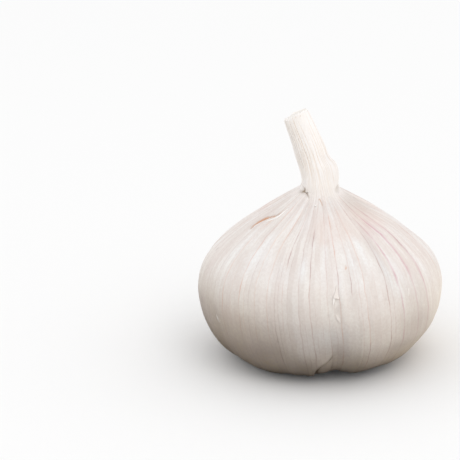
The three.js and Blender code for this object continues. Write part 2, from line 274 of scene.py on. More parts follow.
def tangent(points, share, runs_on=False):
    step = 1e-4
    share = np.asarray(share, float)
    ahead = spline(points, np.minimum(share + step, 1.0), runs_on)
    behind = spline(points, np.maximum(share - step, 0.0), runs_on)
    along = ahead - behind
    return along / np.linalg.norm(along, axis=-1, keepdims=True)


# ---- The head's outline, valleys and stem ----

outline_points = np.array(OUTLINE) * (BULB_WIDTH / OUTLINE_WIDTH, 1.0)
outline_share = np.linspace(0.0, 1.0, OUTLINE_SAMPLES)
outline_curve = spline(outline_points, outline_share)
outline_length = np.concatenate(
    [[0.0], np.cumsum(np.linalg.norm(np.diff(outline_curve, axis=0), axis=1))]
)
lowest = int(np.argmin(outline_curve[:, 1]))


def share_at_height(z):
    """Where the outline reaches a height, above its lowest point."""
    return np.interp(z, outline_curve[lowest:, 1], outline_share[lowest:])


def along_height(values, z):
    base, waist, shoulder = values
    low = ease(z, VALLEY_Z[0], VALLEY_Z[1])
    high = ease(z, VALLEY_Z[1], VALLEY_Z[2])
    return base + (waist - base) * low + (shoulder - waist) * high


def valley_depth(azimuth, z):
    depth = 0.0
    for where, deep in VALLEYS:
        off = turn_between(azimuth, along_height(where, z))
        rounded = np.hypot(off, VALLEY_ROUNDING) - VALLEY_ROUNDING
        depth = depth + along_height(deep, z) * np.maximum(0.0, 1 - rounded / VALLEY_REACH) ** 2
    off = turn_between(azimuth, UNDERCUT_AZIMUTH)
    nearness = np.maximum(0.0, 1 - (off / UNDERCUT_REACH) ** 2) ** 2
    return depth + UNDERCUT_DEPTH * nearness * ease(z, UNDERCUT_END_Z, UNDERCUT_FULL_Z)


def skin_point(azimuth, share, lift):
    """A point of the skin, lifted square to the outline."""
    point = spline(outline_points, share)
    along = tangent(outline_points, share)
    relief = ease(share, 0, 0.2) * (1 - 0.75 * ease(share, 0.85, 1.0))
    to_right = 0.5 + 0.5 * np.sin(np.radians(azimuth))
    drop = SHOULDER_DROP * to_right**2 * ease(point[..., 1], DROP_FROM, DROP_FULL)
    depth = relief * (valley_depth(azimuth, point[..., 1]) + MEAN_RIB) + drop - lift
    return polar(
        azimuth, point[..., 0] - depth * along[..., 1], point[..., 1] + depth * along[..., 0]
    )


stem_axis = [
    (x, y, lerp(STEM_FOOT_Z, STEM_TOP_Z, i / (len(STEM_AXIS) - 1)))
    for i, (x, y) in enumerate(STEM_AXIS)
]
stem_radii = [(r, float(i)) for i, r in enumerate(STEM_RADIUS)]


def stem_share(z):
    return (z - STEM_FOOT_Z) / (STEM_TOP_Z - STEM_FOOT_Z)


def stem_radius(share):
    return spline(stem_radii, share)[..., 0]


def stem_point(share, azimuth, distance, raised=0.0):
    """A point beside the stem's axis, at a distance square to it."""
    share = np.asarray(share, float) + 0.0 * np.asarray(azimuth, float)
    along = tangent(stem_axis, share, True)
    right = np.array([1.0, 0.0, 0.0]) - along * along[..., :1]
    right = right / np.linalg.norm(right, axis=-1, keepdims=True)
    back = np.cross(along, right)
    angle = np.radians(azimuth)
    sideways = (distance * np.sin(angle))[..., None] * right
    towards = (distance * np.cos(angle))[..., None] * back
    lifted = np.asarray(raised + 0.0 * share)[..., None] * along
    return spline(stem_axis, share, True) + sideways - towards + lifted


# ---- Meshes ----


def in_scene(name, data):
    made = bpy.data.objects.new(name, data)
    bpy.context.scene.collection.objects.link(made)
    return made


def mesh_object(name, points, faces, material, marks, replaces=()):
    mesh = bpy.data.meshes.new(name)
    mesh.from_pydata((points * MM).tolist(), [], faces)
    for name_of_mark, values in marks.items():
        kind, field = ("FLOAT_VECTOR", "vector") if values.ndim == 2 else ("FLOAT", "value")
        attribute = mesh.attributes.new(name_of_mark, kind, "POINT")
        attribute.data.foreach_set(field, values.astype(np.float32).ravel())
    mesh.polygons.foreach_set("use_smooth", [True] * len(mesh.polygons))
    mesh.materials.append(material)
    mesh.update()
    piece = in_scene(name, mesh)
    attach(piece, "root")
    for node in replaces:
        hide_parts(node)
    return piece


def ring_faces(rows, columns, first=0):
    """Four-sided faces over rings of points, closed round."""
    grid = first + np.arange(rows * columns).reshape(rows, columns)
    turned = np.roll(grid, -1, axis=1)
    quads = np.stack([grid[:-1], turned[:-1], turned[1:], grid[1:]], axis=-1)
    return quads.reshape(-1, 4).tolist()


def closed_body(rings, first_pole, last_pole):
    """Points and faces of one closed body from rings and a pole at either end."""
    rows, columns = rings.shape[:2]
    points = np.vstack([rings.reshape(-1, 3), first_pole, last_pole])
    faces = ring_faces(rows, columns)
    low, high = rows * columns, rows * columns + 1
    top = (rows - 1) * columns
    for j in range(columns):
        after = (j + 1) % columns
        faces.append((low, after, j))
        faces.append((high, top + j, top + after))
    return points, faces


def marks_with_poles(values):
    """Marks over the rings, carried on to the two poles."""
    flat = values.reshape(-1, *values.shape[2:])
    poles = np.stack([values[0].mean(axis=0), values[-1].mean(axis=0)])
    return np.concatenate([flat, poles])


# ---- Materials ----


def srgb(red, green, blue):
    def linear(value):
        value /= 255.0
        return value / 12.92 if value <= 0.04045 else ((value + 0.055) / 1.055) ** 2.4

    return (linear(red), linear(green), linear(blue), 1.0)


def plug(tree, node, inputs):
    """A node with its inputs set to values, or linked to the outputs of others."""
    for name, value in inputs.items():
        if isinstance(value, bpy.types.NodeSocket):
            tree.links.new(value, node.inputs[name])
        else:
            node.inputs[name].default_value = value
    return node


def add(tree, kind, inputs=None, **settings):
    """A node with its settings and inputs."""
    node = tree.nodes.new(kind)
    for name, value in settings.items():
        setattr(node, name, value)
    return plug(tree, node, inputs or {})


def mark(tree, name, output="Fac"):
    """A mark that the mesh carries at its points."""
    return add(tree, "ShaderNodeAttribute", attribute_name=name).outputs[output]


def math(tree, operation, *values):
    return add(tree, "ShaderNodeMath", dict(enumerate(values)), operation=operation).outputs[0]


def blend(tree, share, first, second):
    """One colour laid over another by a share."""
    return add(tree, "ShaderNodeMix", {0: share, 6: first, 7: second}, data_type="RGBA").outputs[2]


def layered(tree, colour, *layers):
    """A colour with others laid over it in turn, each by a share of a mask."""
    for mask, share, over in layers:
        if share != 1.0:
            mask = math(tree, "MULTIPLY", mask, share)
        colour = blend(tree, mask, colour, over)
    return colour


def spread(tree, value, low, high, to_low=0.0, to_high=1.0):
    inputs = {0: value, 1: low, 2: high, 3: to_low, 4: to_high}
    return add(tree, "ShaderNodeMapRange", inputs, interpolation_type="SMOOTHSTEP").outputs[0]


def new_group(name, inputs, outputs):
    """A shader group with its sockets, by name and kind, and its two ends."""
    group = bpy.data.node_groups.new(name, "ShaderNodeTree")
    for way, sockets in (("INPUT", inputs), ("OUTPUT", outputs)):
        for socket, kind in sockets.items():
            group.interface.new_socket(socket, in_out=way, socket_type="NodeSocket" + kind)
    return group, group.nodes.new("NodeGroupInput"), group.nodes.new("NodeGroupOutput")


def fibre_group():
    """Long fine streaks that follow the grain of a dry leaf."""
    group, given, made = new_group(
        "Leaf fibres", {"Grain": "Vector", "Fineness": "Float"}, {"Fine": "Float", "Broad": "Float"}
    )
    for output, times in (("Fine", 1.0), ("Broad", 0.22)):
        scale = math(group, "MULTIPLY", given.outputs["Fineness"], times)
        inputs = {"Vector": given.outputs["Grain"], "Scale": scale, "Detail": 3.0, "Roughness": 0.6}
        noise = add(group, "ShaderNodeTexNoise", inputs)
        plug(group, made, {output: spread(group, noise.outputs["Fac"], 0.3, 0.7)})
    return group


def blotch_group():
    """Soft patches without direction."""
    inputs = {"Scale": "Float", "Threshold": "Float", "Softness": "Float"}
    group, given, made = new_group("Soft blotches", inputs, {"Mask": "Float"})
    scale, threshold, softness = (given.outputs[name] for name in inputs)
    place = add(group, "ShaderNodeTexCoord").outputs["Object"]
    noise = add(group, "ShaderNodeTexNoise", {"Vector": place, "Scale": scale, "Detail": 4.0})
    low = math(group, "SUBTRACT", threshold, softness)
    high = math(group, "ADD", threshold, softness)
    plug(group, made, {"Mask": spread(group, noise.outputs["Fac"], low, high)})
    return group


def placed(tree, group, **inputs):
    """A group placed with values of its own."""
    return add(tree, "ShaderNodeGroup", inputs, node_tree=group).outputs


fibres = fibre_group()
blotches = blotch_group()


def blotch(tree, scale, threshold, softness):
    """The mask of soft blotches with values of its own."""
    return placed(tree, blotches, Scale=scale, Threshold=threshold, Softness=softness)["Mask"]


def sheath_group():
    """The cream of the dry leaves round the stem, with their streaks and the lines of the grooves."""
    group, given, made = new_group(
        "Dry sheath",
        {"Grain": "Vector", "Groove": "Float", "Tint": "Float"},
        {"Color": "Color", "Height": "Float"},
    )
    broad, fine = (
        placed(group, fibres, Grain=given.outputs["Grain"], Fineness=fineness)["Fine"]
        for fineness in (1.7, 3.6)
    )
    cream = blend(group, blotch(group, 160.0, 0.5, 0.15), srgb(252, 250, 251), srgb(250, 247, 246))
    line = blend(group, given.outputs["Tint"], srgb(216, 184, 146), srgb(160, 142, 122))
    colour = layered(
        group, cream,
        (broad, 0.16, srgb(240, 228, 218)),
        (fine, 0.15, srgb(228, 212, 194)),
        (given.outputs["Groove"], 0.7, line),
    )
    plug(group, made, {"Color": colour, "Height": math(group, "ADD", broad, fine)})
    return group


dry_sheath = sheath_group()


def new_material(name):
    material = bpy.data.materials.new(name)
    material.use_nodes = True
    return material, material.node_tree


def finished(material, colour, height, strength, distance, roughness, specular=0.5):
    """The material with its colour, its fine relief and its gloss."""
    tree = material.node_tree
    bump = add(tree, "ShaderNodeBump", {"Height": height, "Strength": strength, "Distance": distance})
    inputs = {"Base Color": colour, "Roughness": roughness, "Specular IOR Level": specular}
    plug(tree, tree.nodes["Principled BSDF"], {**inputs, "Normal": bump.outputs["Normal"]})
    return material


def papery_skin():
    material, tree = new_material("papery_skin")
    grain = mark(tree, "grain", "Vector")
    fibre = placed(tree, fibres, Grain=grain, Fineness=2.2)
    fine = placed(tree, fibres, Grain=grain, Fineness=6.0)["Fine"]
    names = "vein tint blush magenta earth stain shade slit dry shine tone groove"
    vein, tint, blush, magenta, earth, stain, shade, slit, dry, shine, tone, groove = (
        mark(tree, name) for name in names.split()
    )
    pale = blend(tree, blotch(tree, 70.0, 0.5, 0.14), srgb(240, 239, 238), srgb(241, 238, 234))
    pink = blend(tree, fibre["Fine"], srgb(221, 200, 190), srgb(232, 214, 205))
    # the lines go from tan over brown to purple by their tint, and are duller low down under the
    # soil tint and painted shade
    hues = add(tree, "ShaderNodeValToRGB", {"Fac": tint})
    stops = hues.color_ramp.elements
    stops[0].color, stops[1].color = srgb(226, 164, 122), srgb(198, 132, 150)
    for place, hue in ((0.25, (204, 134, 104)), (0.5, (164, 104, 94)), (0.75, (150, 94, 94))):
        stops.new(place).color = srgb(*hue)
    line = layered(tree, hues.outputs["Color"], (earth, 0.75, srgb(148, 124, 110)))
    wander = spread(tree, blotch(tree, 650.0, 0.55, 0.12), 0.0, 1.0, 0.75, 1.0)
    neck = placed(tree, dry_sheath, Grain=grain, Groove=groove, Tint=tint)["Color"]
    colour = layered(
        tree, blend(tree, tone, srgb(227, 220, 216), pale),
        (blotch(tree, 420.0, 0.5, 0.2), 0.12, srgb(214, 200, 192)),
        # painted sheen: the smooth patches painted paler and cooler, as where they catch the light
        (shine, 1.0, srgb(243, 245, 246)),
        # a warm soil tint together with painted shade, stronger towards the base
        (earth, 1.0, srgb(214, 196, 168)),
        (fibre["Broad"], 0.35, srgb(225, 213, 210)),
        (fine, math(tree, "MULTIPLY_ADD", earth, 0.5, 0.25), srgb(209, 196, 188)),
        # pink tinge, and the painted reflection of a clove at the front left
        (blush, 0.5, pink),
        (magenta, 0.3, srgb(216, 184, 190)),
        (math(tree, "MULTIPLY", vein, wander), 0.75, line),
        (dry, 1.0, neck),
        # painted shade, greyish
        (shade, 0.85, srgb(142, 128, 124)),
        # brown painted shade in creases, crevices and slits, and darker underneath
        (stain, 0.85, srgb(134, 112, 86)),
        # painted shadow inside the slits, orange-brown, and the real orange nicks
        (slit, 1.0, srgb(208, 154, 118)),
    )
    height = math(tree, "ADD", math(tree, "MULTIPLY", fibre["Fine"], 0.6), fine)
    rough = spread(tree, fibre["Broad"], 0.0, 1.0, 0.44, 0.58)
    return finished(material, colour, height, 0.35, 0.00006, rough, 0.4)


def torn_paper():
    material, tree = new_material("torn_paper")
    patch = blotch(tree, 500.0, 0.5, 0.2)
    skin = blend(tree, patch, srgb(233, 225, 220), srgb(227, 218, 212))
    white = blend(tree, patch, srgb(251, 250, 249), srgb(246, 243, 240))
    colour = blend(tree, mark(tree, "white"), skin, white)
    return finished(material, colour, blotch(tree, 1500.0, 0.5, 0.3), 0.3, 0.00005, 0.55)


def dry_stem_sheath():
    material, tree = new_material("dry_stem_sheath")
    grain, groove, tint = mark(tree, "grain", "Vector"), mark(tree, "groove"), mark(tree, "tint")
    leaf = placed(tree, dry_sheath, Grain=grain, Groove=groove, Tint=tint)
    ends = layered(
        tree, srgb(252, 248, 244), (blotch(tree, 1100.0, 0.64, 0.08), 0.5, srgb(228, 214, 194))
    )
    colour = blend(tree, mark(tree, "cut"), leaf["Color"], ends)
    return finished(material, colour, leaf["Height"], 0.4, 0.00007, 0.55, 0.4)


def cork_plate():
    material, tree = new_material("cork_plate")
    colour = layered(
        tree, blend(tree, blotch(tree, 260.0, 0.5, 0.16), srgb(240, 229, 210), srgb(226, 212, 184)),
        (blotch(tree, 1400.0, 0.6, 0.08), 0.35, srgb(176, 146, 106)),
        (mark(tree, "hollow"), 0.6, srgb(190, 168, 134)),
    )
    return finished(material, colour, blotch(tree, 2200.0, 0.5, 0.3), 0.7, 0.00015, 0.85)


def dry_root():
    material, tree = new_material("dry_root")
    colour = layered(
        tree, blend(tree, mark(tree, "tint"), srgb(220, 184, 136), srgb(158, 112, 72)),
        (blotch(tree, 900.0, 0.5, 0.2), 0.5, srgb(232, 208, 172)),
        (mark(tree, "tip"), 1.0, srgb(232, 214, 178)),
    )
    return finished(material, colour, blotch(tree, 2600.0, 0.5, 0.3), 0.6, 0.0001, 0.8)


# ---- The skin ----


def vein_lines():
    """Every line of the skin, all round: azimuth at the waist, strengths and tint."""
    random = np.random.default_rng(VEIN_SEED)
    draw = random.uniform
    lines = list(FRONT_VEINS)
    azimuth = FRONT_VEINS[-1][0]
    while azimuth < 360.0 + FRONT_VEINS[0][0] - 9.0:
        azimuth += draw(6.5, 9.0)
        strong = draw(0.3, 0.9)
        strengths = tuple(strong * draw(0.35, 1.0, 3))
        lines.append((azimuth, strengths, float(random.choice([0.15, 0.3, 0.6, 0.85, 0.95]))))
    filled = []
    for line, after in zip(lines, [line[0] for line in lines[1:]] + [lines[0][0] + 360.0]):
        filled.append(line)
        gap = after - line[0]
        more = int(np.ceil(gap / WIDEST_GAP)) - 1
        for k in range(more):
            between = line[0] + gap * (k + 1 + draw(-0.15, 0.15)) / (more + 1)
            strengths = tuple(draw(0.06, 0.28) * draw(0.5, 1.2, 3))
            filled.append((between, strengths, draw(0.1, 0.7)))
    return filled


def flank_of(line):
    """How far the edge of a line is from its middle."""
    return SOFT_FLANK if line[0] in SOFT_LINES else lerp(FINE_FLANK, STRONG_FLANK, max(line[1]))


def skin_columns(lines):
    """The columns of the mesh: the middle and edges of each line and one or two between. With each go
    the line that it belongs to, its nearness to the middle of it, and how far on to the next it is."""
    columns = []
    for k, line in enumerate(lines):
        before, after = lines[k - 1], lines[(k + 1) % len(lines)]
        gaps = ((line[0] - before[0]) % 360.0, (after[0] - line[0]) % 360.0)
        left, right = (min(flank_of(line), MOST_FLANK * gap) for gap in gaps)
        start, end = line[0] + right, line[0] + gaps[1] - min(flank_of(after), MOST_FLANK * gaps[1])
        columns += [(line[0] - left, k, 0.0, 0.0), (line[0], k, 1.0, 0.0), (start, k, 0.0, 0.0)]
        for share in (1 / 2,) if gaps[1] < NARROW_GAP else (1 / 3, 2 / 3):
            columns.append((lerp(start, end, share), k, -1.0, share))
    azimuths, owners, nearness, onward = np.array(columns).T
    return azimuths, owners.astype(int), nearness, onward


def line_wobble(lines, owners, onward, along, random):
    """How far each column strays at each length along the skin, in degrees."""
    draw = random.uniform
    count = len(lines)
    azimuths = np.array([line[0] for line in lines])
    gaps = np.diff(np.append(azimuths, azimuths[0] + 360.0))
    size = WOBBLE * np.minimum(1.0, np.minimum(gaps, np.roll(gaps, 1)) / 2.5)
    stray = np.zeros((len(along), count))
    for length in (4.0, 7.0, 11.0, 19.0):
        phase = draw(0, 6.3, count)
        stray += 0.3 * np.sin(2 * np.pi * along[:, None] / (length * draw(0.8, 1.2, count)) + phase)
    stray *= size
    return lerp(stray[:, owners], stray[:, (owners + 1) % count], onward)


def line_azimuth(azimuth, z):
    """Where a line that has an azimuth at the waist passes a height."""
    sway = np.interp(z, SWAY_Z, SWAY)
    turn = np.interp(z, TURN_Z, TURN)
    return azimuth + sway * np.sin(np.radians(azimuth)) + turn


def path_distance(azimuth, along, path):
    """Signed distance in millimetres from a path over the skin, and the share of the path that is
    nearest. The path has an azimuth and a height at each step, and its right-hand side is negative."""
    places, heights = np.array(path, float).T
    shares = share_at_height(heights)
    above = np.maximum(heights - OUTLINE[-1][1], 0.0)
    climbs = np.interp(shares, outline_share, outline_length) + above
    radii = spline(outline_points, shares)[:, 0]
    turns, turn = np.radians(places), np.radians(turn_between(azimuth, 0.0))
    best = np.full(np.broadcast(azimuth, along).shape, 1e9)
    side, where = np.zeros(best.shape), np.zeros(best.shape)
    for k in range(len(path) - 1):
        radius = (radii[k] + radii[k + 1]) / 2
        run_x, run_y = (turns[k + 1] - turns[k]) * radius, climbs[k + 1] - climbs[k]
        off_x, off_y = (turn - turns[k]) * radius, along - climbs[k]
        share = np.clip((off_x * run_x + off_y * run_y) / (run_x**2 + run_y**2), 0.0, 1.0)
        gap = np.hypot(off_x - share * run_x, off_y - share * run_y)
        nearer = gap < best
        best = np.where(nearer, gap, best)
        side = np.where(nearer, np.sign(run_x * off_y - run_y * off_x), side)
        where = np.where(nearer, (k + share) / (len(path) - 1), where)
    return best * side, where


# The tear in the outer skin on the left shoulder, from its right end, and how wide the slit gapes.
TEAR_PATH = [
    (-48.5, 39.2), (-49.8, 38.7), (-52, 38.1), (-56.8, 37.4), (-62.2, 36.9), (-66.6, 36.2), (-69, 35.3),
    (-70.4, 34.4), (-69.6, 33.7),
]
TEAR_GAPE = [0.0, 0.06, 0.1, 0.24, 0.52, 0.86, 0.9, 0.55, 0.0]
# How far the skin stands out low down, by azimuth: small swellings and hollows of the front.
BASE_SWELL = [
    (-16, 0), (-10, -0.5), (-3, -0.4), (2, 0), (8, 0.45), (13, 0.1), (20, -0.2), (30, 0), (42, 0.5),
    (55, 0.6), (70, 0.3), (86, 0), (180, 0),
]
# The fold at the bottom of the front, from its foot.
FOLD_PATH = [
    (-4.2, 0.9), (-3.4, 2.3), (-1.4, 4.3), (0.8, 5.5), (3.5, 6.4), (5.8, 7.5), (6.6, 9.2), (6.8, 11),
]
FOLD_STEP = 0.5
# Where the stem's sheath ends free at the left of the neck, from the back down on to the shoulder.
SHEATH_EDGE = [
    (-145, 44.2), (-115, 44.1), (-90, 43.9), (-75, 43.7), (-60, 43.4), (-50, 43), (-42, 42.6),
    (-34, 42.2), (-26, 41.8), (-21, 41.4),
]
SHEATH_STEP = 0.4
# The fold in the skin that runs in under that edge, and the crease at the right of the neck.
POCKET_PATH = [(-80, 41.7), (-66, 42.1), (-44, 42.6)]
RIGHT_CREASE = [(48, 42.4), (66, 42.7), (84, 43.0), (104, 43.4)]
# A small slit in front of the neck.
NECK_SLIT = [(-2.2, 41.6), (0.6, 41.4), (3.2, 41.0), (4.5, 40.5)]


def skin_relief(azimuth, waist_azimuth, share, along, lines, random):
    """How far the skin stands above or below the plain form."""
    draw = random.uniform
    z = spline(outline_points, share)[..., 1]
    radians = np.radians(waist_azimuth)
    calm = ease(share, 0.0, 0.12)

    # soft panels between the stronger lines
    strong = [line for line in lines if max(line[1]) > 0.28]
    edges = np.array([line[0] for line in strong] + [strong[0][0] + 360.0])
    heights = draw(0.02, 0.12, len(strong))
    tilts = draw(-0.06, 0.06, len(strong))
    place = (waist_azimuth - edges[0]) % 360.0 + edges[0]
    index = np.clip(np.searchsorted(edges, place, side="right") - 1, 0, len(strong) - 1)
    across = (place - edges[index]) / (edges[index + 1] - edges[index])
    panel = heights[index] * np.sin(np.pi * across) ** 0.8 + tilts[index] * np.sin(2 * np.pi * across)
    left_shoulder = window(turn_between(azimuth, -38.0), -30.0, 24.0, 10.0) * ease(z, 28.0, 34.0)
    lift = calm * panel * (0.7 + 0.5 * ease(z, 20, 34)) * (1 - 0.45 * left_shoulder)

    # slow unevenness and long fine wrinkles
    for _ in range(SLOW_WAVES):
        turns, climb = random.integers(3, 11), draw(-0.12, 0.12)
        lift += 0.03 * np.cos(turns * radians + climb * along + draw(0, 6.3))
    for _ in range(FINE_WRINKLES):
        turns, climb = random.integers(30, 130), draw(-0.22, 0.22)
        fade = 0.5 + 0.5 * np.cos(0.1 * along + draw(0, 6.3))
        lift += calm * 0.0085 * fade * np.cos(turns * radians + climb * along + draw(0, 6.3))

    # pleats where the skin gathers towards the neck and the roots
    gather = ease(z, 33.5, 40.5) * ease(share, 0.3, 0.5)
    for turns, size in NECK_PLEATS:
        bend = 0.6 * np.sin(3 * radians + turns) + 0.03 * along
        lift += gather * size * np.cos(turns * radians + bend + draw(0, 6.3))
    under = ease(share, 0.34, 0.12) * ease(share, 0, 0.08)
    for turns, size in ROOT_PLEATS:
        lift += under * size * np.cos(turns * radians + 0.8 * np.sin(2 * radians + turns))
    return lift


def by_azimuth(azimuth, table):
    """A value read from a table of azimuths, all round."""
    places, values = zip(*table)
    return np.interp(turn_between(azimuth, 0.0), places, values, period=360.0)


# How far the collar of outer skin stands off the stem, by azimuth and height. It thins out into the
# stem at the top.
COLLAR_Z = [42.3, 43.0, 43.8, 45.0, 46.2, 47.4, 48.6, 49.6, 50.6, 51.8]
COLLAR_COVER = [
    (-180, [1.25, 1, 0.85, 0.72, 0.6, 0.45, 0.28, 0.1, -0.07, -0.07]),
    (0, [1.3, 1.1, 0.95, 0.74, 0.56, 0.42, 0.27, 0.14, 0.04, -0.07]),
    (50, [1.5, 1.25, 1.12, 1.05, 1, 0.82, 0.3, 0.04, -0.06, -0.07]),
    (90, [1.55, 1.12, 1.1, 1.16, 1.22, 1.02, 0.36, 0.1, -0.04, -0.07]),
    (130, [1.45, 1.12, 1.05, 1.02, 1.02, 0.86, 0.34, 0.05, -0.06, -0.07]),
    (180, [1.25, 1, 0.85, 0.72, 0.6, 0.45, 0.28, 0.1, -0.07, -0.07]),
]
SHEATH_FLARE = 0.22
DRY_FROM, DRY_FULL = 39.6, 44.4  # heights between which the skin turns into the dry sheath


def at_left(azimuth):
    """1 where the stem's sheath ends free and the skin runs in under it."""
    return sector(azimuth, -98.0, 52.0, 11.0)


def sheath_end(azimuth):
    """The height at which the free edge of the sheath meets the collar."""
    return np.maximum(by_azimuth(azimuth, SHEATH_EDGE), COLLAR_Z[0] + 0.3)


def collar_cover(azimuth, z):
    """How far the collar stands off the stem."""
    azimuth, z = np.broadcast_arrays(azimuth, z)
    turn = turn_between(azimuth, 0.0)
    places = np.array([place for place, _ in COLLAR_COVER])
    covers = np.array([np.interp(z, COLLAR_Z, row) for _, row in COLLAR_COVER])
    step = np.clip(np.searchsorted(places, turn, side="right") - 1, 0, len(places) - 2)
    low, high = (np.take_along_axis(covers, (step + k)[None], axis=0)[0] for k in (0, 1))
    cover = lerp(low, high, (turn - places[step]) / (places[step + 1] - places[step]))
    run = (z - COLLAR_Z[0]) / (sheath_end(azimuth) - COLLAR_Z[0])
    tucked = lerp(1.0, SHEATH_FLARE, np.clip(run, 0.0, 1.0) ** 0.8) - 0.9 * np.clip(run - 1.0, 0.0, 1.0)
    return np.maximum(lerp(cover, tucked, at_left(azimuth)), -0.1)


def lip_height(azimuth):
    """How high the collar reaches up the stem."""
    ragged = 0.25 * np.sin(np.radians(5 * azimuth)) + 0.2 * np.cos(np.radians(9 * azimuth))
    whole = lerp(51.9, 50.9, sector(azimuth, 180.0, 40.0, 20.0)) + 0.3 * ragged
    return lerp(whole, sheath_end(azimuth) + 0.4, at_left(azimuth))


def stem_lines(azimuth, share):
    """The grooves that run down the stem and into the neck: their depth, colour and tint."""
    depth, colour, tint = (np.zeros(np.broadcast(azimuth, share).shape) for _ in range(3))
    for centre, deep, wide, hue, start, end in stem_grooves:
        # the lines of the left run round towards the front on their way down
        lean = 12.0 * max(0.0, 1 - abs(turn_between(centre, -60.0)) / 90.0) * (1 - share)
        sway = 2.5 * np.sin(2.2 * share + centre) + 1.1 * np.sin(9.0 * share + 2.0 * centre)
        sway = sway + 0.5 * np.sin(23.0 * share + 3.0 * centre)
        off = turn_between(azimuth, centre + lean + sway)
        run = ease(share, start, start + 0.2) * ease(share, end, end - 0.2)
        depth = depth + deep * bell(off, wide) * run
        line = bell(off, 0.75 * wide) * run * min(1.0, 0.34 + 3.2 * deep)
        tint = np.where(line > colour, hue, tint)
        colour = np.maximum(colour, line)
    return depth, colour, tint


def neck_marks(azimuth, along):
    """The step at the free edge of the sheath and the folds beside the neck, and the painted shade in
    them.
    """
    gap, where = path_distance(azimuth, along, SHEATH_EDGE)
    near = np.abs(gap) < 8.0
    open_edge = ease(where, 0.35, 0.5) * ease(where, 1.0, 0.8)
    step = near * SHEATH_STEP * ease(gap, -0.1, 0.1) * tail(gap, 1.8) * open_edge
    dark = near * 0.7 * bell(gap + 0.14, 0.2) * ease(where, 1.0, 0.84)
    dark = dark * (0.3 * ease(where, 0.0, 0.3) + 0.7 * ease(where, 0.4, 0.6))
    gap, where = path_distance(azimuth, along, POCKET_PATH)
    core = bell(gap, 0.32) * ease(where, 0.45, 0.95)
    hollow = bell(gap, 0.9) * ease(where, 0.1, 0.9)
    gap, where = path_distance(azimuth, along, RIGHT_CREASE)
    crease = bell(gap, 0.38) * window(where, 0.1, 0.9, 0.25)
    return step - 0.18 * hollow - 0.22 * crease, np.maximum(dark, 0.8 * core) + 0.42 * (hollow + crease)


def tear_marks(azimuth, along, z):
    """The tear on the left shoulder: its lift, the painted shadow in its open slit and the painted
    shade below it.
    """
    gap, where = path_distance(azimuth, along, TEAR_PATH)
    near = (np.abs(gap) < 9.0) & (z > 30)
    gape = np.interp(where, np.linspace(0, 1, len(TEAR_GAPE)), TEAR_GAPE)
    ending = near * ease(where, 0.0, 0.12) * ease(where, 1.0, 0.93)
    raised = 0.26 * tail(gap, 1.8) * ease(gap, -0.3, 0.2) * ending
    slit = ease(np.abs(gap + 0.5 * gape) / (0.5 * gape + 0.12), 1.2, 0.5) * ending
    return raised - 0.34 * slit, slit, tail(-gap, 0.9) * (gap < 0) * ending


def fold_marks(azimuth, along, z):
    """The fold where one clove's skin laps over the next: its lift and the painted shade in its crease.
    """
    gap, where = path_distance(azimuth, along, FOLD_PATH)
    low = (z < 13) & (np.abs(gap) < 9)
    lap = FOLD_STEP * ease(gap, -0.2, 0.2) * tail(gap, 4.0) * np.exp(-np.abs(gap) / 6.0)
    narrow = lerp(0.62, 0.19, ease(where, 0.0, 0.5))
    dark = bell(gap + 0.5 * narrow, narrow) * window(where, 0.05, 0.72, 0.1) * low
    return lap * ease(where, 1.0, 0.5) * low - 0.28 * dark, dark


def collar(azimuth, last_ring, last_length):
    """The collar round the foot of the stem, thinning out into it: its rings and their marks, and the
    rings of the socket inside it."""
    foot, lip = stem_share(OUTLINE[-1][1]), stem_share(lip_height(azimuth))
    on_collar = 1 - at_left(azimuth)
    # it starts where the skin ends
    share = stem_share(last_ring[:, 2])
    start = np.linalg.norm(last_ring - spline(stem_axis, share, True), axis=-1) - stem_radius(share)
    start = start - neck_marks(azimuth, last_length)[0] * on_collar
    start = start - collar_cover(azimuth, OUTLINE[-1][1])
    climbed = ((np.arange(1, COLLAR_ROWS + 1) / COLLAR_ROWS) ** 1.4)[:, None]
    here = lerp(foot, lip, climbed)
    height = (here - foot) * (STEM_TOP_Z - STEM_FOOT_Z)
    z = OUTLINE[-1][1] + height
    step, crevice = neck_marks(azimuth, last_length + height)
    depth, line, tint = stem_lines(azimuth, here)
    begun = ease(climbed, 0.0, 0.8)
    cover = collar_cover(azimuth, z) + start * np.exp(-height / 0.8) * (1 - begun)
    cover = cover + step * on_collar - depth * begun
    rings = stem_point(here, azimuth, stem_radius(here) + cover)
    # painted shade on the collar, low down all round and on its right side
    right_shade = 0.1 * beside(azimuth, 60.0, 32.0) * ease(height, 0.3, 2.5)
    marks = {
        "tint": tint,
        "shade": 0.03 * bell(np.maximum(height - 0.6, 0.0), 1.8) + right_shade,
        "dry": ease(z, DRY_FROM, DRY_FULL),
        "groove": line * lerp(0.5, 1.0, begun),
        # brown painted shade in the crevice, pocket and crease by the neck
        "stain": np.clip(crevice, 0, 1),
        "grain": grain_vector(np.radians(azimuth), here * STEM_GRAIN),
    }
    inner = lerp(lip, 0.0, np.linspace(0, 1, SOCKET_ROWS + 1)[:, None])
    gap = stem_lines(azimuth, inner)[0] + SOCKET_GAP
    return rings, marks, stem_point(inner, azimuth, stem_radius(inner) - gap)


def eased_neck(body, azimuth, start_row):
    """The rings with the bend between shoulder and collar softened in front."""
    eased = body.copy()
    for _ in range(EASING_PASSES):
        eased[1:-1] = (eased[:-2] + 2 * eased[1:-1] + eased[2:]) / 4
    off = np.arange(len(body)) - start_row
    reach = np.where(off < 0, EASED_BELOW, EASED_ABOVE)
    near = np.clip(1 - np.abs(off) / reach, 0.0, 1.0)[:, None]
    facing = window(turn_between(azimuth, 15.0), -38.0, 40.0, 12.0)
    return lerp(body, eased, (np.minimum(1.0, 1.6 * near) * facing)[..., None])


